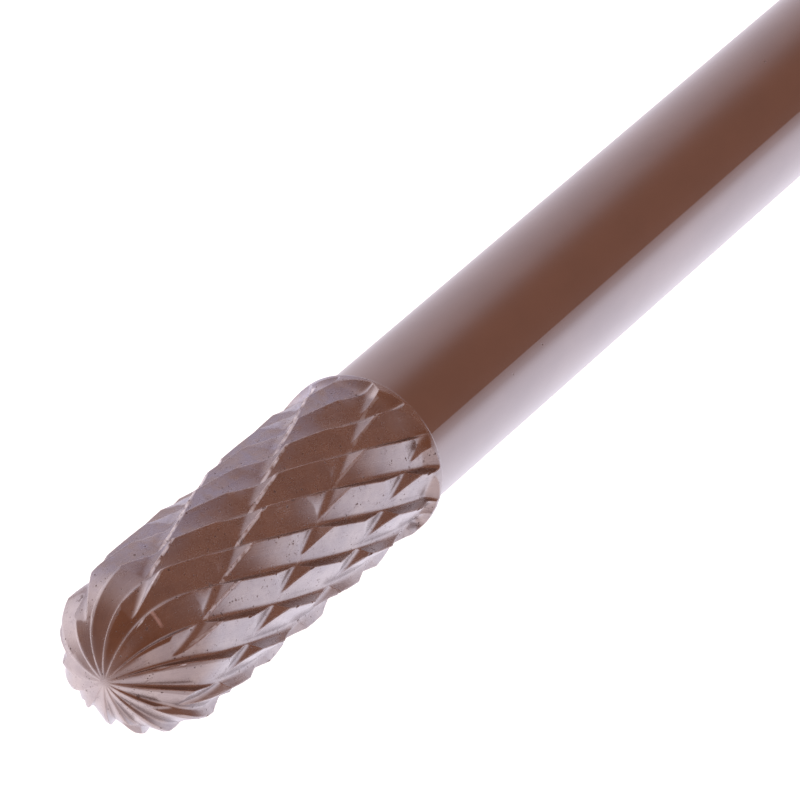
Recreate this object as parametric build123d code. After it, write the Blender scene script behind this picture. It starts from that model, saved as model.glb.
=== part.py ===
from build123d import *
import os
from math import acos, ceil, cos, degrees, radians, sin, tan

# Ball-nosed cylindrical carbide burr, double cut: a carbide head brazed to a plain steel shank.
# It stands on the shank's flat end: the origin is that end's centre, +Z runs up the axis to the tip.
# Lengths are in millimetres and angles in degrees.

# Shank
shank_diameter = 6.0
shank_length = 45.0
shank_end_chamfer = 0.3

# Head, as the blank is ground before its teeth are cut
head_diameter = 6.8
head_length = 19.0
rear_rim_chamfer = 0.08

# Main cut: right-hand saw teeth that run from the collar over the ball to its tip
tooth_count = 15
flute_helix_angle = 20.0
flute_depth = 0.46  # down to where the relief and the rake face would meet
flute_floor_width = 0.15  # narrow floor that the grinding wheel's edge leaves there
rake_setback = 3.0  # angle about the axis by which the root lies behind its cutting edge
land_height = 0.015  # how far the sharp profile would stand above the blank, which leaves a fine land
tip_depth_share = 0.3  # deepest the flutes can be near the tip, as a share of the radius there
tip_web_radius = 0.2  # solid centre that the teeth run into at the tip

# Cross cut: left-hand chip breakers, each a V with a gentle bank and a steep one
breaker_count = 7
breaker_helix_angle = 20.0
breaker_depth = 0.46
breaker_gentle_bank = 15.0  # angle about the axis from the V's bottom to its edge nearer the tip
breaker_steep_bank = 8.2  # the same to its edge nearer the shank
breaker_start_angle = 3.5  # where a V's bottom meets the plane of the head's rear face
breaker_fade_latitude = 60.0  # latitude on the ball at which the V has risen out of it

# Both cuts rise out of the head as the grinding wheel leaves it, and stop short of the rear face
collar_width = 0.18
runout_length = 0.68

# Places that follow from the sizes above
head_radius = head_diameter / 2
head_base = shank_length
head_tip = head_base + head_length
ball_centre = head_tip - head_radius
runout_top = head_base + collar_width + runout_length
tooth_pitch = 360 / tooth_count

# Cross sections that the two cuts are lofted through, along each stretch of the head
runout_sections = 3
ball_sections = 9
sections_per_pitch = 4  # on the barrel, as often as its teeth turn by one pitch


def polar(radius, angle, height):
    return Vector(radius * cos(radians(angle)), radius * sin(radians(angle)), height)


def helix_turn(height, helix_angle):
    """Angle that a helix on the head's outside has turned through above the rear face."""
    return degrees((height - head_base) * tan(radians(helix_angle)) / head_radius)


def runout_lift(height):
    """How far both cuts have risen at this height: none above the run-out, then ever steeper."""
    below_top = max(0.0, runout_top - height)
    return flute_depth * (below_top / runout_length) ** 2


def cut_heights():
    """Heights of the cross sections from below the rear face up to where the ball begins."""
    barrel_turn = helix_turn(ball_centre, flute_helix_angle) - helix_turn(runout_top, flute_helix_angle)
    barrel_sections = ceil(sections_per_pitch * barrel_turn / tooth_pitch)
    runout_step = runout_length / runout_sections
    barrel_step = (ball_centre - runout_top) / barrel_sections
    heights = [head_base - collar_width]
    heights += [head_base + collar_width + step * runout_step for step in range(runout_sections)]
    heights += [runout_top + step * barrel_step for step in range(barrel_sections)]
    return heights


def tooth_section(blank_radius, height):
    """Closed saw-tooth outline: rake face, narrow floor and relief, from each crest to the next."""
    crest_radius = blank_radius + land_height + runout_lift(height)
    deepest = tip_depth_share * blank_radius
    depth = (flute_depth**-4 + deepest**-4) ** -0.25
    floor_width = flute_floor_width * blank_radius / head_radius
    corners = []
    for tooth in range(tooth_count):
        angle = helix_turn(height, flute_helix_angle) + tooth * tooth_pitch
        crest = polar(crest_radius, angle, height)
        root = polar(crest_radius - depth, angle - tooth_pitch + rake_setback, height)
        last_crest = polar(crest_radius, angle - tooth_pitch, height)
        up_relief = (crest - root).normalized()
        up_rake = (last_crest - root).normalized()
        half_corner = acos(up_relief.dot(up_rake)) / 2
        cut_back = floor_width / 2 / sin(half_corner)
        corners += [root + up_rake * cut_back, root + up_relief * cut_back, crest]
    return Wire.make_polygon(corners)


def toothed_bar():
    """Twisted bar of saw-tooth section that follows the barrel and closes in over the ball."""
    sections = [tooth_section(head_radius, height) for height in cut_heights()]
    for step in range(ball_sections):
        latitude = radians(90 * step / ball_sections)
        height = ball_centre + head_radius * sin(latitude)
        sections.append(tooth_section(head_radius * cos(latitude), height))
    sections.append(tooth_section(tip_web_radius, head_tip + land_height))
    return Solid.make_loft(sections)


def blank():
    """The blank before its teeth are cut: a cylinder with a ball end and a broken rear rim."""
    with BuildPart() as turned:
        with BuildSketch(Plane.XZ):
            with BuildLine():
                Polyline(
                    (0, head_tip),
                    (0, head_base),
                    (head_radius - rear_rim_chamfer, head_base),
                    (head_radius, head_base + rear_rim_chamfer),
                    (head_radius, ball_centre),
                )
                CenterArc((0, ball_centre), head_radius, 0, 90)
            make_face()
        revolve(axis=Axis.Z)
    return turned.part


def breaker_section(depth, height, latitude=0.0):
    """V-shaped outline of a chip breaker, square to the blank's surface."""
    outer_radius = head_radius + breaker_depth
    widening = (outer_radius - head_radius + depth) / breaker_depth
    turn = breaker_start_angle - helix_turn(height, breaker_helix_angle)
    lift = runout_lift(height)
    corners = [
        (head_radius - depth + lift, turn),
        (outer_radius + lift, turn - breaker_steep_bank * widening),
        (outer_radius + lift, turn + breaker_gentle_bank * widening),
    ]
    slope = radians(latitude)
    rise_out_of_ball = sin(slope)
    level = height - head_radius * rise_out_of_ball
    points = [polar(r * cos(slope), angle, level + r * rise_out_of_ball) for r, angle in corners]
    return Wire.make_polygon(points)


def breaker_cutter():
    """A left-hand V that follows the barrel, then the ball until it has risen out of it."""
    sections = [breaker_section(breaker_depth, height) for height in cut_heights()]
    steps = ball_sections // 2
    for step in range(steps + 2):
        faded = step / steps
        latitude = breaker_fade_latitude * faded
        height = ball_centre + head_radius * sin(radians(latitude))
        sections.append(breaker_section(breaker_depth * (1 - faded**3), height, latitude))
    return Solid.make_loft(sections)


def carbide_head():
    toothed = toothed_bar() & blank()
    cutter = breaker_cutter()
    return toothed - [cutter.rotate(Axis.Z, i * 360 / breaker_count) for i in range(breaker_count)]


def steel_shank():
    shank = Solid.make_cylinder(shank_diameter / 2, shank_length)
    foot_edge = shank.edges().group_by(Axis.Z)[0]
    return shank.chamfer(shank_end_chamfer, None, foot_edge)


os.makedirs("parts", exist_ok=True)
export_step(carbide_head(), "parts/carbide_head.step", write_pcurves=False)
export_step(steel_shank(), "parts/steel_shank.step", write_pcurves=False)
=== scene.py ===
from math import acos, atan2, ceil, cos, pi, radians, sin, tan

import bmesh
import bpy
import numpy as np
from mathutils import Matrix, Vector


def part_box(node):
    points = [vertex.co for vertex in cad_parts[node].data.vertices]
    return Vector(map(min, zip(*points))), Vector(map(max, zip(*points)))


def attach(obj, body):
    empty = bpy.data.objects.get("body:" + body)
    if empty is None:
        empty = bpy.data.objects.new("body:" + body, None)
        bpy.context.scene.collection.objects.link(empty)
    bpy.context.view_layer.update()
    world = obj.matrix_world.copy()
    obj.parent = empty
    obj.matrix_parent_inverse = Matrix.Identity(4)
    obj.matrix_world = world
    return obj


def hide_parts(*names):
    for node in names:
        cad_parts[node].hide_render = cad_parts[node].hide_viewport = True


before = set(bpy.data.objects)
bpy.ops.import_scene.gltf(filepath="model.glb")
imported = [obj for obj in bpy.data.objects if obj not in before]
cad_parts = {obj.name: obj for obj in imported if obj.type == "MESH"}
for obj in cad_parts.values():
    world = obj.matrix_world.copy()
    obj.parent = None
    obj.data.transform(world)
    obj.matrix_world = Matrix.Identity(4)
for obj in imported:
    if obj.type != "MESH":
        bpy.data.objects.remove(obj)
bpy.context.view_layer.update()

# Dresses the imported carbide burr, which stands on its shank with its axis on +Z. Sizes are in metres, and
# heights and radii are the frame's own. Materials work in millimetres, which is what dividing by MM gives.

head_low, head_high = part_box("carbide_head")

MM = 0.001

# Head, the same driving sizes as the part
head_radius = min(head_high.x, head_high.y, -head_low.x, -head_low.y)
head_base = head_low.z
head_tip = head_high.z
ball_centre = head_tip - head_radius
rear_rim_rounding = 0.13 * MM
collar_width = 0.18 * MM
runout_length = 0.68 * MM
runout_top = head_base + collar_width + runout_length

# Main cut. A flat relief sags a little below an even sink from crest to root, and where the ball narrows the
# flutes are a share of its radius deep.
tooth_count = 15
tooth_pitch = 2 * pi / tooth_count
flute_turn_per_metre = tan(radians(20.0)) / head_radius
flute_depth = 0.46 * MM
flute_floor_width = 0.15 * MM
round_root_width = 1.7 * flute_floor_width
rake_setback = radians(3.0)
relief_sag = 0.0525 * MM
land_height = 0.015 * MM
ball_land_height = 0.09 * MM
tip_depth_share = 0.3
tip_web_radius = 0.2 * MM

# Cross cut of chip breakers, each a V whose lowest share is round
breaker_count = 7
breaker_pitch = 2 * pi / breaker_count
breaker_turn_per_metre = -tan(radians(20.0)) / head_radius
breaker_depth = 0.46 * MM
breaker_gentle_bank = radians(15.0)
breaker_steep_bank = radians(8.2)
breaker_start_angle = radians(3.5)
breaker_fade_latitude = radians(60.0)
breaker_round_share = 0.22

# How finely the head is divided
runout_step = 0.06 * MM
barrel_step = 0.08 * MM
cut_ball_steps = 60
root_places = (0.0, 0.25, 0.5, 0.75, 1.0)
relief_places = (0.45, 0.86, 0.975)
breaker_round_points = 8
breaker_ball_steps = 36
breaker_overrun_steps = 6
blank_sides = 360
blank_rim_steps = 6
blank_wall_start = 0.2 * MM
blank_wall_step = 0.5 * MM
blank_ball_steps = 72
blank_tip_radius = 0.01 * MM
sharpest_smooth_edge = radians(22.0)

# Rubbed crests: the depth worn away, and the spacing of its ups and downs along a tooth. Coarse and fine wear
# read the same values, so the coarse starts further along them.
wear_seed = 100
wear_values = 512
least_wear = 0.004 * MM
added_wear = 0.006 * MM
fine_wear_spacing = 0.11 * MM
coarse_wear_spacing = 0.62 * MM
coarse_wear_start = 200

# Chips: bites out of the crests, and out of some of the corners that the breakers leave. The last four are
# shares of a chip's size.
chip_seed = 7
crest_chip_size = 0.025 * MM
crest_chip_added_size = 0.085 * MM
crest_chip_gaps = (0.8 * MM, 3.6 * MM)
first_chip_height = head_base + 1.0 * MM
last_chip_height = head_tip - 1.6 * MM
corner_chip_size = 0.03 * MM
corner_chip_added_size = 0.09 * MM
corner_chip_share = 0.5
chip_centre_outside = 0.15
chip_least_stretch = (0.6, 0.6, 0.8)
chip_most_stretch = (1.2, 1.2, 2.0)
chip_roughness = 0.16

# Marks in the materials. The scuff's ends are an angle around the axis and a latitude on the ball.
edge_rounding = 0.075 * MM
# Crumbled corners are real chipping painted pale as a highlight, strongest on the two rows that catch the
# light.
crumbled_highlight_core = 0.022 * MM
crumbled_highlight_reach = 0.066 * MM
most_highlighted_rows = (2, 3)
least_highlighted = 0.3
film_angle = radians(86.0)
film_core = radians(18.0)
film_reach = radians(36.0)
film_top_fade = (ball_centre - 0.5 * MM, ball_centre + 2.2 * MM)
scuff_start = (radians(37.3), radians(35.4))
scuff_end = (radians(20.9), radians(37.7))
scuff_half_width = 0.07 * MM

# Camera, at the photograph's angle
camera_azimuth = radians(19.4)
camera_elevation = radians(50.07)
axis_slope_in_frame = radians(40.79)
ring_distance = 302.8 * MM
frame_pixels = 800
focal_pixels = 8070.0
ring_centre_pixel = (364.5, 456.2)
sensor_width_mm = 36.0

# Floor and lights
floor_half_width = 1.5
floor_colour = (0.9, 0.9, 0.9, 1.0)
softbox_place = (-0.3, 0.3, 0.9)
softbox_target = (0.0, 0.0, 0.04)
softbox_size = 0.6
softbox_watts = 14.0
room_strength = 1.75


# ---------------------------------------------------------------- meshes

def mesh_object(name, vertices, faces):
    mesh = bpy.data.meshes.new(name)
    mesh.from_pydata([tuple(v) for v in vertices], [], faces)
    mesh.validate()
    mesh.update()
    piece = bpy.data.objects.new(name, mesh)
    bpy.context.scene.collection.objects.link(piece)
    return piece


def stacked_rings(name, rings):
    """Closed solid through rings of equally many points, capped flat at both ends."""
    count = len(rings[0])
    faces = [tuple(reversed(range(count)))]
    for level in range(len(rings) - 1):
        low, high = level * count, (level + 1) * count
        for i in range(count):
            j = (i + 1) % count
            faces.append((low + i, low + j, high + j, high + i))
    faces.append(tuple(range((len(rings) - 1) * count, len(rings) * count)))
    return mesh_object(name, np.concatenate(rings), faces)


def on_circle(radius, angle, height):
    return np.array((radius * cos(angle), radius * sin(angle), height))


def bend(start, corner, end, t):
    """Point at t, 0 to 1, on a curve that leaves the start towards the corner and reaches the end from it."""
    return (1 - t) ** 2 * start + 2 * t * (1 - t) * corner + t * t * end


def stretch(start, end, step):
    """Even places from the start up to the end, without the end, about a step apart."""
    count = max(1, ceil((end - start) / step))
    return [start + (end - start) * i / count for i in range(count)]


def soft_minimum(first, second):
    """A little under the lesser of two lengths, with no kink where they cross."""
    return (first**-4 + second**-4) ** -0.25


def smooth_noise(seed, count):
    """Repeatable smooth noise in one dimension, about -1 to 1, as a function of a place."""
    values = np.random.default_rng(seed).uniform(-1, 1, count)

    def at(place):
        whole = int(np.floor(place))
        part = place - whole
        part = part * part * (3 - 2 * part)
        return values[whole % count] * (1 - part) + values[(whole + 1) % count] * part
    return at


crest_grain = [smooth_noise(wear_seed + tooth, wear_values) for tooth in range(tooth_count)]


def crest_wear(tooth, height):
    """How far the crest's edge is rubbed down at a height."""
    along = height - head_base
    fine = crest_grain[tooth](along / fine_wear_spacing)
    coarse = crest_grain[tooth](along / coarse_wear_spacing + coarse_wear_start)
    return least_wear + added_wear * (max(0.0, fine) + max(0.0, coarse))


def runout_lift(height):
    """How far both cuts rise out of the head near its rear face."""
    below_top = max(0.0, runout_top - height)
    return flute_depth * (below_top / runout_length) ** 2


def tooth_ring(blank_radius, height, turn, land=land_height):
    """Saw-tooth outline of the head at one height, with a rounded root and worn crests."""
    crest_radius = blank_radius + land + runout_lift(height)
    depth = soft_minimum(flute_depth, tip_depth_share * blank_radius)
    share = blank_radius / head_radius
    points = []
    for tooth in range(tooth_count):
        angle = turn + tooth * tooth_pitch
        crest = on_circle(crest_radius, angle, height)
        root = on_circle(crest_radius - depth, angle - tooth_pitch + rake_setback, height)
        last = on_circle(crest_radius, angle - tooth_pitch, height)
        up_relief = (crest - root) / np.linalg.norm(crest - root)
        up_rake = (last - root) / np.linalg.norm(last - root)
        half_corner = acos(float(up_relief @ up_rake)) / 2
        cut_back = round_root_width * share / 2 / sin(half_corner)
        start, end = root + up_rake * cut_back, root + up_relief * cut_back
        points += [bend(start, root, end, t) for t in root_places]
        points += [end + (crest - end) * t for t in relief_places]
        left = 1 - crest_wear(tooth, height) * share / crest_radius
        points.append(crest * np.array((left, left, 1)))
    return np.array(points)


def cut_levels():
    """Heights from below the rear face to where the ball begins."""
    levels = [head_base - collar_width]
    levels += stretch(head_base, runout_top, runout_step)
    levels += stretch(runout_top, ball_centre, barrel_step)
    return levels


def flute_turn(height):
    return (height - head_base) * flute_turn_per_metre


def toothed_bar():
    """The main cut's teeth, over the barrel and the ball, a little proud of the blank."""
    rings = [tooth_ring(head_radius, h, flute_turn(h)) for h in cut_levels()]
    for step in range(cut_ball_steps):
        latitude = pi / 2 * step / cut_ball_steps
        height = ball_centre + head_radius * sin(latitude)
        radius = max(tip_web_radius, head_radius * cos(latitude))
        land = land_height + ball_land_height * sin(2 * latitude)
        rings.append(tooth_ring(radius, height, flute_turn(height), land))
    top = head_tip + land_height
    rings.append(tooth_ring(tip_web_radius, top, flute_turn(top)))
    return stacked_rings("toothed_bar", rings)


def blank():
    """The ground blank: a cylinder with a ball end and a broken rear rim."""
    outline = []
    for step in range(blank_rim_steps + 1):
        turn = pi / 2 * step / blank_rim_steps
        outline.append((head_radius - rear_rim_rounding * (1 - sin(turn)),
                        head_base + rear_rim_rounding * (1 - cos(turn))))
    wall = stretch(head_base + blank_wall_start, ball_centre, blank_wall_step)
    outline += [(head_radius, z) for z in wall]
    for step in range(blank_ball_steps):
        latitude = pi / 2 * step / blank_ball_steps
        outline.append((head_radius * cos(latitude), ball_centre + head_radius * sin(latitude)))
    outline.append((blank_tip_radius, head_tip))
    angles = np.arange(blank_sides) * 2 * pi / blank_sides
    rings = []
    for radius, z in outline:
        rings.append(np.stack((radius * np.cos(angles), radius * np.sin(angles), np.full(blank_sides, z)), 1))
    return stacked_rings("blank", rings)


def breaker_ring(depth, height, latitude, start_turn):
    """The V of one chip breaker at one height, with the round bottom that its wheel leaves."""
    outer_radius = head_radius + breaker_depth
    widening = (outer_radius - head_radius + depth) / breaker_depth
    turn = start_turn + breaker_start_angle + (height - head_base) * breaker_turn_per_metre
    lift = runout_lift(height)
    bottom, top = head_radius - depth + lift, outer_radius + lift
    steep_edge = -breaker_steep_bank * widening
    gentle_edge = breaker_gentle_bank * widening
    round_top = bottom + (top - bottom) * breaker_round_share
    near_gentle = np.array((round_top, gentle_edge * breaker_round_share))
    near_steep = np.array((round_top, steep_edge * breaker_round_share))
    corner = np.array((bottom, 0.0))
    outline = [bend(near_gentle, corner, near_steep, t) for t in np.linspace(0.0, 1.0, breaker_round_points)]
    outline += [(top, steep_edge), (top, gentle_edge)]
    rise = sin(latitude)
    level = height - head_radius * rise
    return np.array([on_circle(r * cos(latitude), turn + a, level + r * rise) for r, a in outline])


def breaker_cutter(index):
    """What one chip breaker takes away, along the barrel and then rising out of the ball."""
    start_turn = index * breaker_pitch
    rings = [breaker_ring(breaker_depth, h, 0.0, start_turn) for h in cut_levels()]
    for step in range(breaker_ball_steps + breaker_overrun_steps):
        faded = step / breaker_ball_steps
        latitude = breaker_fade_latitude * faded
        height = ball_centre + head_radius * sin(latitude)
        rings.append(breaker_ring(breaker_depth * (1 - faded**3), height, latitude, start_turn))
    return stacked_rings(f"cutter_{index}", rings)


def crest_chips(random):
    """Each chip's tooth as an angle, its height and its size."""
    chips = []
    for tooth in range(tooth_count):
        height = first_chip_height
        while height < last_chip_height:
            size = crest_chip_size + crest_chip_added_size * random.random() ** 3
            chips.append((tooth * tooth_pitch, height, size))
            height += random.uniform(*crest_chip_gaps)
    closing = flute_turn_per_metre - breaker_turn_per_metre
    for tooth in range(tooth_count):
        for index in range(breaker_count):
            for edge in (-breaker_steep_bank, breaker_gentle_bank):
                apart = index * breaker_pitch + breaker_start_angle + edge - tooth * tooth_pitch
                height = head_base + (apart % (2 * pi)) / closing
                if height < ball_centre and random.random() < corner_chip_share:
                    size = corner_chip_size + corner_chip_added_size * random.random() ** 2
                    chips.append((tooth * tooth_pitch, height, size))
    return chips


def chip_cutter():
    """Many small rough pebbles in one mesh, one for each chip."""
    random = np.random.default_rng(chip_seed)
    pebble = bmesh.new()
    bmesh.ops.create_icosphere(pebble, subdivisions=2, radius=1.0)
    unit = np.array([v.co for v in pebble.verts])
    sides = [tuple(v.index for v in face.verts) for face in pebble.faces]
    pebble.free()
    vertices, faces = [], []
    for angle, height, size in crest_chips(random):
        ball_rise = max(0.0, height - ball_centre) / head_radius
        radius = head_radius * cos(np.arcsin(min(1.0, ball_rise)))
        centre = on_circle(radius + chip_centre_outside * size, angle + flute_turn(height), height)
        stretched = unit * random.uniform(chip_least_stretch, chip_most_stretch) * size
        rough = stretched * (1 + random.uniform(-chip_roughness, chip_roughness, (len(unit), 1)))
        faces += [tuple(len(vertices) + i for i in side) for side in sides]
        vertices += list(centre + rough)
    return mesh_object("chips", vertices, faces)


def flip_if_inside_out(piece):
    shape = bmesh.new()
    shape.from_mesh(piece.data)
    bmesh.ops.recalc_face_normals(shape, faces=shape.faces)
    shape.to_mesh(piece.data)
    shape.free()


def boolean(piece, other, operation):
    """Cuts the other solid from the piece, or keeps what they share, and removes the other solid."""
    flip_if_inside_out(other)
    modifier = piece.modifiers.new(operation, "BOOLEAN")
    modifier.operation = operation
    modifier.solver = "MANIFOLD"
    modifier.object = other
    dependencies = bpy.context.evaluated_depsgraph_get()
    result = bpy.data.meshes.new_from_object(piece.evaluated_get(dependencies))
    piece.modifiers.clear()
    piece.data = result
    bpy.data.objects.remove(other)


def head_piece(ground, broken):
    """The whole head, with its ground surface and the broken surface inside its chips."""
    head = toothed_bar()
    chips = chip_cutter()
    for solid in (head, chips):
        solid.data.materials.append(ground)
        solid.data.materials.append(broken)
    chips.data.polygons.foreach_set("material_index", [1] * len(chips.data.polygons))
    flip_if_inside_out(head)
    boolean(head, blank(), "INTERSECT")
    for index in range(breaker_count):
        boolean(head, breaker_cutter(index), "DIFFERENCE")
    boolean(head, chips, "DIFFERENCE")
    head.name = "toothed_head"
    head.data.name = "toothed_head"
    head.data.polygons.foreach_set("use_smooth", [True] * len(head.data.polygons))
    head.data.set_sharp_from_angle(angle=sharpest_smooth_edge)
    return head


# ---------------------------------------------------------------- materials

class Nodes:
    """Short calls for building a node tree."""

    def __init__(self, tree):
        self.tree = tree
        tree.nodes.clear()

    def add(self, kind, **settings):
        node = self.tree.nodes.new(kind)
        for name, value in settings.items():
            setattr(node, name, value)
        return node

    def link(self, source, target):
        self.tree.links.new(source, target)

    def feed(self, socket, value):
        if isinstance(value, bpy.types.NodeSocket):
            self.link(value, socket)
        else:
            socket.default_value = value

    def math(self, operation, *values):
        node = self.add("ShaderNodeMath", operation=operation)
        for socket, value in zip(node.inputs, values):
            self.feed(socket, value)
        return node.outputs[0]

    def vector(self, operation, *values, scale=None):
        node = self.add("ShaderNodeVectorMath", operation=operation)
        for socket, value in zip(node.inputs, values):
            self.feed(socket, value)
        if operation == "SCALE":
            node.inputs["Scale"].default_value = scale
        return node.outputs["Value" if operation in ("DOT_PRODUCT", "LENGTH") else "Vector"]

    def split(self, vector):
        node = self.add("ShaderNodeSeparateXYZ")
        self.link(vector, node.inputs[0])
        return node.outputs

    def combine(self, *values):
        node = self.add("ShaderNodeCombineXYZ")
        for socket, value in zip(node.inputs, values):
            self.feed(socket, value)
        return node.outputs[0]

    def between(self, value, low, high, interpolation="LINEAR"):
        """0 at low and 1 at high, held outside them."""
        node = self.add("ShaderNodeMapRange", interpolation_type=interpolation)
        self.link(value, node.inputs["Value"])
        node.inputs["From Min"].default_value = low
        node.inputs["From Max"].default_value = high
        return node.outputs["Result"]

    def slope(self, value, low, high, interpolation="LINEAR"):
        """As between, for an angle, with low and high in degrees."""
        return self.between(value, radians(low), radians(high), interpolation)

    def product(self, first, *others):
        for other in others:
            first = self.math("MULTIPLY", first, other)
        return first

    def weighted(self, start, *terms):
        """The start plus each term's mask times its weight."""
        for mask, weight in terms:
            start = self.math("MULTIPLY_ADD", mask, weight, start)
        return start

    def blend(self, share, first, second):
        """Number that goes from the first to the second as the share goes from 0 to 1."""
        return self.math("MULTIPLY_ADD", share, self.math("SUBTRACT", second, first), first)

    def mix(self, share, first, second):
        node = self.add("ShaderNodeMix", data_type="RGBA")
        self.feed(node.inputs["Factor"], share)
        for socket, value in zip((node.inputs[6], node.inputs[7]), (first, second)):
            self.feed(socket, value if isinstance(value, bpy.types.NodeSocket) else (*value, 1.0))
        return node.outputs[2]

    def painted(self, colour, *layers):
        """The colour under layers of a mask, a strength and a tint each, the lowest first."""
        for mask, strength, tint in layers:
            colour = self.mix(self.math("MULTIPLY", mask, strength), colour, tint)
        return colour

    def noise(self, vector, scale, detail=2.0, roughness=0.5):
        node = self.add("ShaderNodeTexNoise")
        self.link(vector, node.inputs["Vector"])
        node.inputs["Scale"].default_value = scale
        node.inputs["Detail"].default_value = detail
        node.inputs["Roughness"].default_value = roughness
        return node.outputs["Fac"]

    def bump(self, height_mm, normal=None):
        node = self.add("ShaderNodeBump")
        node.inputs["Distance"].default_value = MM
        self.link(height_mm, node.inputs["Height"])
        if normal:
            self.link(normal, node.inputs["Normal"])
        return node.outputs[0]


def metal(name):
    """A new metallic material, its nodes and shader, and a point's place in millimetres."""
    material = bpy.data.materials.new(name)
    material.use_nodes = True
    nodes = Nodes(material.node_tree)
    output = nodes.add("ShaderNodeOutputMaterial")
    shader = nodes.add("ShaderNodeBsdfPrincipled")
    nodes.link(shader.outputs["BSDF"], output.inputs["Surface"])
    shader.inputs["Metallic"].default_value = 1.0
    place = nodes.vector("SCALE", nodes.add("ShaderNodeTexCoord").outputs["Object"], scale=1 / MM)
    return material, nodes, shader, place


def pits(nodes, place, spacing, largest, share):
    """Mask of small holes, in millimetres: one in each cell of a given spacing, for a share of the cells."""
    stir_scale, stir_distance, rim_width = 1.6 / spacing, 0.35 * spacing, 0.25 * largest / spacing
    stir = nodes.add("ShaderNodeTexNoise")
    nodes.link(place, stir.inputs["Vector"])
    stir.inputs["Scale"].default_value = stir_scale
    stirred = nodes.vector("ADD", place, nodes.vector("SCALE", stir.outputs["Color"], scale=stir_distance))
    cells = nodes.add("ShaderNodeTexVoronoi")
    nodes.link(stirred, cells.inputs["Vector"])
    cells.inputs["Scale"].default_value = 1 / spacing
    chance = nodes.add("ShaderNodeSeparateColor")
    nodes.link(cells.outputs["Color"], chance.inputs[0])
    size = nodes.math("MULTIPLY", nodes.between(chance.outputs[0], 1 - share, 1.0), largest / spacing)
    inside = nodes.math("SUBTRACT", size, cells.outputs["Distance"])
    return nodes.between(inside, 0.0, rim_width)


def place_on_tooth(nodes, angle, above_base):
    """Which tooth a point is on, and where it lies across it, 0 to 1 from crest to crest."""
    turned = nodes.math("MULTIPLY_ADD", above_base, -flute_turn_per_metre * MM, angle)
    teeth = nodes.math("DIVIDE", turned, tooth_pitch)
    return nodes.math("FLOOR", teeth), nodes.math("FRACT", teeth)


def distance_to_relief(nodes, across, reach):
    """How far below a tooth's flat relief a point lies, in millimetres."""
    down_relief = nodes.between(across, 1.0, rake_setback / tooth_pitch)
    sag = nodes.math("MULTIPLY", down_relief, nodes.math("SUBTRACT", 1.0, down_relief))
    even_sink = nodes.math("MULTIPLY", down_relief, flute_depth / MM)
    relief_depth = nodes.math("MULTIPLY_ADD", sag, 4 * relief_sag / MM, even_sink)
    return nodes.math("SUBTRACT", nodes.math("SUBTRACT", head_radius / MM, reach), relief_depth)


def distance_to_steep_bank(nodes, before, reach):
    """How far a point lies from a chip breaker's steep bank, by its angle before the V's bottom."""
    bottom, top = (head_radius - breaker_depth) / MM, (head_radius + breaker_depth) / MM
    bank_out = top * cos(2 * breaker_steep_bank) - bottom
    bank_aside = top * sin(2 * breaker_steep_bank)
    bank_tilt = atan2(bank_aside, bank_out)
    outward = nodes.math("MULTIPLY_ADD", reach, nodes.math("COSINE", before), -bottom)
    aside = nodes.math("MULTIPLY", reach, nodes.math("SINE", before))
    return nodes.math("SUBTRACT", nodes.math("MULTIPLY", outward, sin(bank_tilt)),
                      nodes.math("MULTIPLY", aside, cos(bank_tilt)))


def crumbled_corner_highlights(nodes, place, angle, above_base, across, reach):
    """Mask of crumbled corners between relief and steep bank, painted as a bright highlight, most on two
    rows.
    """
    turned = nodes.math("MULTIPLY_ADD", above_base, -breaker_turn_per_metre * MM, angle)
    turned = nodes.math("SUBTRACT", turned, breaker_start_angle)
    rows = nodes.math("DIVIDE", turned, breaker_pitch)
    next_row = nodes.math("CEIL", rows)
    before = nodes.math("MULTIPLY", nodes.math("SUBTRACT", next_row, rows), breaker_pitch)
    off_bank = nodes.math("ABSOLUTE", distance_to_steep_bank(nodes, before, reach))
    off_relief = nodes.math("ABSOLUTE", distance_to_relief(nodes, across, reach))
    off_corner = nodes.math("MAXIMUM", off_bank, off_relief)
    corner = nodes.between(off_corner, crumbled_highlight_reach / MM, crumbled_highlight_core / MM)

    # The two rows where the painted highlight on the corners is strongest
    row = nodes.math("FLOORED_MODULO", next_row, float(breaker_count))
    first, last = most_highlighted_rows
    most_highlighted_row = nodes.math("COMPARE", row, (first + last) / 2, (last - first) / 2 + 0.1)
    how_much = nodes.math("MULTIPLY_ADD", most_highlighted_row, 1 - least_highlighted, least_highlighted)
    patches = nodes.between(nodes.noise(place, 3.4, 3.0, 0.65), 0.36, 0.56)
    return nodes.product(corner, how_much, patches)


def bluish_film(nodes, place, angle, on_barrel):
    """Mask of a thin film, in patches on one side of the barrel."""
    from_middle = nodes.math("COSINE", nodes.math("SUBTRACT", angle, film_angle))
    on_side = nodes.between(from_middle, cos(film_reach), cos(film_core))
    patches = nodes.between(nodes.noise(place, 1.25, 4.0, 0.65), 0.34, 0.58)
    return nodes.product(on_side, patches, on_barrel)


def ball_direction(around, latitude):
    """Unit vector from the ball's centre, by its angle around the axis and its latitude."""
    return Vector((cos(latitude) * cos(around), cos(latitude) * sin(around), sin(latitude)))


def ball_scuff(nodes, place, past_ball_centre):
    """Mask of one short scuff across a facet of the ball, ragged along its sides and fading at its end."""
    start, end = ball_direction(*scuff_start), ball_direction(*scuff_end)
    run = (end - start).normalized()
    from_centre = nodes.vector("SUBTRACT", place, (0.0, 0.0, ball_centre / MM))
    direction = nodes.vector("NORMALIZE", from_centre)
    half_width = scuff_half_width / head_radius
    aside = nodes.math("ABSOLUTE", nodes.vector("DOT_PRODUCT", direction, start.cross(end).normalized()))
    aside = nodes.math("MULTIPLY_ADD", nodes.noise(place, 9.0), half_width, aside)
    along = nodes.vector("DOT_PRODUCT", direction, run)
    return nodes.product(nodes.between(along, run @ start, run @ start + half_width),
                         nodes.between(along, run @ end, run @ end - 3 * half_width),
                         nodes.between(aside, 1.9 * half_width, 0.8 * half_width),
                         nodes.between(past_ball_centre, 0.0, 0.2))


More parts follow.
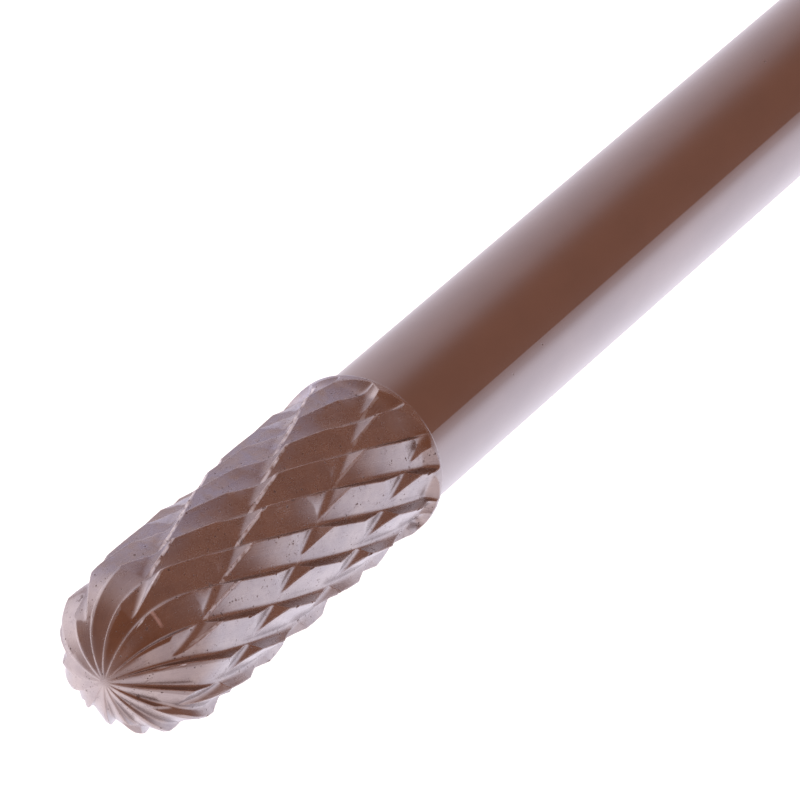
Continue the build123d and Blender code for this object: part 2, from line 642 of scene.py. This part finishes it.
def specks_on_carbide(nodes, place, across, worn_patches):
    """Mask of scattered dark specks, pores in the worn patches and crumbs of dirt by the roots."""
    scattered = pits(nodes, place, 0.60, 0.070, 0.35)
    pores = nodes.math("MULTIPLY", pits(nodes, place, 0.12, 0.044, 0.60), worn_patches)
    crumbs = nodes.between(nodes.noise(place, 9.0, 3.0, 0.7), 0.46, 0.54)
    near_root = nodes.math("MULTIPLY", nodes.between(across, 0.10, 0.15), nodes.between(across, 0.62, 0.30))
    dirt = nodes.product(pits(nodes, place, 0.95, 0.21, 0.45), crumbs, near_root)
    return nodes.math("MAXIMUM", nodes.math("MAXIMUM", scattered, pores), dirt)


def hairline_scratches(nodes, place, worn_patches):
    """Mask of thin wandering lines, where a stretched noise crosses its middle value."""
    wander = nodes.noise(nodes.vector("MULTIPLY", place, (2.0, 7.0, 0.8)), 1.0, 2.0, 0.5)
    off_line = nodes.math("ABSOLUTE", nodes.math("SUBTRACT", wander, 0.5))
    return nodes.math("MULTIPLY", nodes.between(off_line, 0.006, 0.0), worn_patches)


def carbide():
    """Ground tungsten carbide: wheel marks along the flutes, pores, hairline scratches, and rubbed edges and
    crumbled corners painted near-white as highlights.
    """
    material, nodes, shader, place = metal("ground_carbide")
    x, y, z = nodes.split(place)
    angle = nodes.math("ARCTAN2", y, x)
    above_base = nodes.math("SUBTRACT", z, head_base / MM)
    past_ball_centre = nodes.math("MAXIMUM", nodes.math("SUBTRACT", z, ball_centre / MM), 0.0)
    reach = nodes.vector("LENGTH", nodes.combine(x, y, past_ball_centre))
    on_barrel = nodes.between(z, film_top_fade[1] / MM, film_top_fade[0] / MM)
    tooth, across = place_on_tooth(nodes, angle, above_base)

    # Grinding marks run along the teeth, and are another set on each tooth.
    wheel_marks = nodes.noise(nodes.combine(nodes.math("MULTIPLY", across, 30.0),
                                            nodes.math("MULTIPLY", z, 0.45), tooth), 1.0, 4.0, 0.7)
    fine_marks = nodes.noise(nodes.combine(nodes.math("MULTIPLY", across, 95.0),
                                           nodes.math("MULTIPLY", z, 1.3), tooth), 1.0, 2.0, 0.6)
    cloud = nodes.noise(place, 0.9, 3.0, 0.6)
    mottle = nodes.noise(place, 4.5, 4.0, 0.65)
    grain = nodes.noise(place, 42.0, 3.0, 0.6)
    worn_patches = nodes.between(nodes.noise(place, 1.7, 3.0, 0.65), 0.45, 0.60)
    specks = specks_on_carbide(nodes, place, across, worn_patches)
    hairs = hairline_scratches(nodes, place, worn_patches)
    crumbled_highlight = crumbled_corner_highlights(nodes, place, angle, above_base, across, reach)
    film = bluish_film(nodes, place, angle, on_barrel)
    scuff = nodes.math("MULTIPLY", ball_scuff(nodes, place, past_ball_centre), nodes.blend(mottle, 0.4, 1.3))

    # Edges are where a rounded normal leaves the true one. Their rubbed wear is painted near-white as an edge
    # highlight.
    rounded = nodes.add("ShaderNodeBevel")
    rounded.samples = 6
    rounded.inputs["Radius"].default_value = edge_rounding
    true_normal = nodes.add("ShaderNodeNewGeometry").outputs["Normal"]
    level = nodes.vector("DOT_PRODUCT", rounded.outputs["Normal"], true_normal)
    rubbed_edge_highlight = nodes.math("MULTIPLY", nodes.between(level, 0.975, 0.82),
                        nodes.between(nodes.noise(place, 3.1, 4.0, 0.75), 0.34, 0.54))

    ground = nodes.mix(nodes.between(cloud, 0.36, 0.66), (0.50, 0.480, 0.505), (0.595, 0.565, 0.568))
    colour = nodes.painted(ground,
                           (film, 1.0, (0.47, 0.49, 0.63)),
                           (nodes.between(mottle, 0.52, 0.72), 0.30, (0.40, 0.36, 0.40)),
                           (nodes.between(wheel_marks, 0.40, 0.62), 0.22, (0.72, 0.69, 0.68)),
                           # Rubbed edges: real wear, painted near-white as a highlight where the edge catches
                           # the light
                           (rubbed_edge_highlight, 1.0, (0.96, 0.91, 0.91)),
                           # Crumbled corners: real chipping, painted pale and less metallic as a painted
                           # highlight
                           (crumbled_highlight, 1.0, (0.80, 0.78, 0.85)),
                           (scuff, 1.0, (0.82, 0.66, 0.64)),
                           (hairs, 0.45, (0.22, 0.18, 0.18)),
                           (specks, 0.62, (0.17, 0.13, 0.13)))
    nodes.link(colour, shader.inputs["Base Color"])
    rough = nodes.weighted(0.13, (mottle, 0.14), (wheel_marks, 0.10), (rubbed_edge_highlight, 0.38), (crumbled_highlight, 0.45),
                           (scuff, 0.25), (specks, 0.35))
    nodes.link(rough, shader.inputs["Roughness"])

    # The film, the scuff and the crumbled corners scatter some light instead of mirroring the room.
    metallic = nodes.weighted(1.0, (on_barrel, -0.03), (film, -0.08), (scuff, -0.14), (crumbled_highlight, -0.57))
    nodes.link(metallic, shader.inputs["Metallic"])
    height_mm = nodes.weighted(0.0, (wheel_marks, 0.0022), (fine_marks, 0.0007), (grain, 0.0003),
                               (hairs, -0.0015), (crumbled_highlight, -0.010), (specks, -0.008))
    nodes.link(nodes.bump(height_mm, rounded.outputs["Normal"]), shader.inputs["Normal"])
    return material


def broken_carbide():
    """The grainy matt break inside a chip."""
    material, nodes, shader, place = metal("broken_carbide")
    grain = nodes.noise(place, 16.0, 4.0, 0.7)
    colour = nodes.mix(nodes.between(grain, 0.35, 0.68), (0.30, 0.26, 0.27), (0.60, 0.56, 0.57))
    nodes.link(colour, shader.inputs["Base Color"])
    nodes.link(nodes.weighted(0.30, (grain, 0.25)), shader.inputs["Roughness"])
    nodes.link(nodes.bump(nodes.weighted(0.0, (grain, 0.02))), shader.inputs["Normal"])
    return material


def steel():
    """Centreless-ground steel: faint rings of grinding, a slight cloud in the tone and a few specks."""
    material, nodes, shader, place = metal("ground_steel")
    x, y, z = nodes.split(place)
    feed = nodes.math("MULTIPLY_ADD", nodes.math("ARCTAN2", y, x), 0.02, z)
    stretched = nodes.vector("MULTIPLY", nodes.combine(x, y, feed), (0.5, 0.5, 24.0))
    rings = nodes.noise(stretched, 1.0, 4.0, 0.7)
    cloud = nodes.noise(nodes.vector("MULTIPLY", place, (1.0, 1.0, 0.5)), 0.45, 3.0, 0.6)
    specks = pits(nodes, place, 1.1, 0.07, 0.30)

    ground = nodes.mix(nodes.between(cloud, 0.36, 0.66), (0.535, 0.515, 0.525), (0.575, 0.548, 0.552))
    colour = nodes.painted(ground,
                           (nodes.between(rings, 0.35, 0.75), 0.07, (0.70, 0.67, 0.67)),
                           (specks, 0.55, (0.16, 0.12, 0.12)))
    nodes.link(colour, shader.inputs["Base Color"])
    nodes.link(nodes.weighted(0.20, (rings, 0.08), (specks, 0.3)), shader.inputs["Roughness"])
    nodes.link(nodes.bump(nodes.weighted(0.0, (rings, 0.0005), (specks, -0.004))), shader.inputs["Normal"])
    return material


# ---------------------------------------------------------------- stage

def camera():
    """The photograph's camera, placed by where the head's rear edge lies in the frame."""
    flat = cos(camera_elevation)
    to_camera = Vector((flat * cos(camera_azimuth), flat * sin(camera_azimuth), sin(camera_elevation)))
    down_shank = Vector((0, 0, -1))
    along = (down_shank - down_shank.dot(to_camera) * to_camera).normalized()
    across = to_camera.cross(along)
    right = cos(axis_slope_in_frame) * along - sin(axis_slope_in_frame) * across
    up = sin(axis_slope_in_frame) * along + cos(axis_slope_in_frame) * across
    metres_per_pixel = ring_distance / focal_pixels
    ring_right = (ring_centre_pixel[0] - frame_pixels / 2) * metres_per_pixel
    ring_down = (ring_centre_pixel[1] - frame_pixels / 2) * metres_per_pixel
    ring_centre = Vector((0, 0, head_base))
    place = ring_centre + to_camera * ring_distance - right * ring_right + up * ring_down
    data = bpy.data.cameras.new("camera")
    data.sensor_width = sensor_width_mm
    data.lens = sensor_width_mm * focal_pixels / frame_pixels
    data.clip_start, data.clip_end = 0.01, 10.0
    piece = bpy.data.objects.new("camera", data)
    bpy.context.scene.collection.objects.link(piece)
    piece.matrix_world = Matrix((
        (right.x, up.x, to_camera.x, place.x),
        (right.y, up.y, to_camera.y, place.y),
        (right.z, up.z, to_camera.z, place.z),
        (0, 0, 0, 1)))
    bpy.context.scene.camera = piece


def room_colour(nodes, around, rise):
    """The room by angle: around goes from the open front, positive to the right, and rise from level."""
    dark_room = (0.152, 0.068, 0.046)
    dark_ceiling = (0.128, 0.048, 0.026)
    pale_cloth = (0.672, 0.628, 0.700)
    warm_cloth = (0.672, 0.572, 0.588)

    # How bright the cloth is on the floor, in the shade where it rises on the left, and on the walls
    right_near = nodes.slope(around, 38, 67, "SMOOTHSTEP")
    right_far = nodes.slope(around, 40, 150)
    right = nodes.math("MULTIPLY_ADD", right_near, 0.5, nodes.math("MULTIPLY", right_far, 0.5))
    left_floor = nodes.math("POWER", nodes.slope(around, -15, -170), 2.0)
    left_shade = nodes.math("MULTIPLY", nodes.slope(around, -30, -65, "SMOOTHSTEP"), 0.26)
    under_wall = nodes.product(nodes.slope(rise, -54, -43, "SMOOTHSTEP"),
                               nodes.slope(rise, -14, -30, "SMOOTHSTEP"),
                               nodes.slope(around, -170, -125, "SMOOTHSTEP"))
    left_floor = nodes.blend(under_wall, left_floor, left_shade)
    floor_glow = nodes.math("MAXIMUM", right, left_floor)
    wall_share_of_right = nodes.math("MULTIPLY_ADD", nodes.slope(around, 110, 175), 0.35, 0.65)
    right_wall = nodes.math("MULTIPLY", right, wall_share_of_right)
    wall_glow = nodes.math("MAXIMUM", right_wall, nodes.slope(around, -25, -110))
    on_wall = nodes.slope(rise, -36, -8, "SMOOTHSTEP")
    glow = nodes.blend(on_wall, floor_glow, wall_glow)

    # The walls reach higher on the right and behind than on the left.
    taller = nodes.math("MAXIMUM", right_near, nodes.slope(around, -110, -160))
    extra_height = nodes.math("MULTIPLY", taller, radians(35))
    above = nodes.slope(nodes.math("SUBTRACT", rise, extra_height), -6, 36, "SMOOTHSTEP")
    glow = nodes.math("MULTIPLY", glow, nodes.math("MULTIPLY_ADD", above, -0.88, 1.0))
    dark = nodes.mix(above, dark_room, dark_ceiling)
    pale = nodes.mix(on_wall, pale_cloth, warm_cloth)
    return nodes.mix(glow, dark, pale)


def studio_light():
    """Soft pale cloth below, behind and on both sides, in a warm dark room, open in front and above."""
    world = bpy.data.worlds.new("studio")
    bpy.context.scene.world = world
    world.use_nodes = True
    nodes = Nodes(world.node_tree)
    output = nodes.add("ShaderNodeOutputWorld")
    background = nodes.add("ShaderNodeBackground")
    nodes.link(background.outputs[0], output.inputs[0])
    direction = nodes.add("ShaderNodeTexCoord").outputs["Generated"]
    front = (cos(camera_azimuth), sin(camera_azimuth), 0.0)
    side = (sin(camera_azimuth), -cos(camera_azimuth), 0.0)
    to_front = nodes.vector("DOT_PRODUCT", direction, front)
    to_side = nodes.vector("DOT_PRODUCT", direction, side)
    around = nodes.math("ARCTAN2", to_side, to_front)
    rise = nodes.math("ARCSINE", nodes.split(direction)["Z"])
    seen_directly = nodes.add("ShaderNodeLightPath").outputs["Is Camera Ray"]
    backdrop = (0.6, 0.6, 0.6)
    colour = nodes.mix(seen_directly, room_colour(nodes, around, rise), backdrop)
    nodes.link(colour, background.inputs["Color"])
    background.inputs["Strength"].default_value = room_strength


def floor():
    """Plain pale floor. The burr mirrors the room's cloth instead of it."""
    half = floor_half_width
    piece = mesh_object("floor", [(-half, -half, 0), (half, -half, 0), (half, half, 0), (-half, half, 0)],
                        [(0, 1, 2, 3)])
    material = bpy.data.materials.new("floor")
    material.use_nodes = True
    nodes = Nodes(material.node_tree)
    output = nodes.add("ShaderNodeOutputMaterial")
    shader = nodes.add("ShaderNodeBsdfDiffuse")
    shader.inputs["Color"].default_value = floor_colour
    nodes.link(shader.outputs[0], output.inputs["Surface"])
    piece.data.materials.append(material)
    piece.visible_glossy = False


def key_light():
    """A large softbox, which casts a soft shadow and isn't mirrored either."""
    data = bpy.data.lights.new("softbox", "AREA")
    data.shape = "SQUARE"
    data.size = softbox_size
    data.energy = softbox_watts
    lamp = bpy.data.objects.new("softbox", data)
    bpy.context.scene.collection.objects.link(lamp)
    lamp.location = softbox_place
    lamp.visible_glossy = False
    to_burr = Vector(softbox_target) - Vector(lamp.location)
    lamp.rotation_euler = to_burr.to_track_quat("-Z", "Y").to_euler()


# ---------------------------------------------------------------- the scene

head = head_piece(carbide(), broken_carbide())
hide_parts("carbide_head")
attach(head, "root")

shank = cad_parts["steel_shank"]
shank.data.materials.clear()
shank.data.materials.append(steel())

floor()
studio_light()
key_light()
camera()
bpy.context.scene.view_settings.view_transform = "Standard"
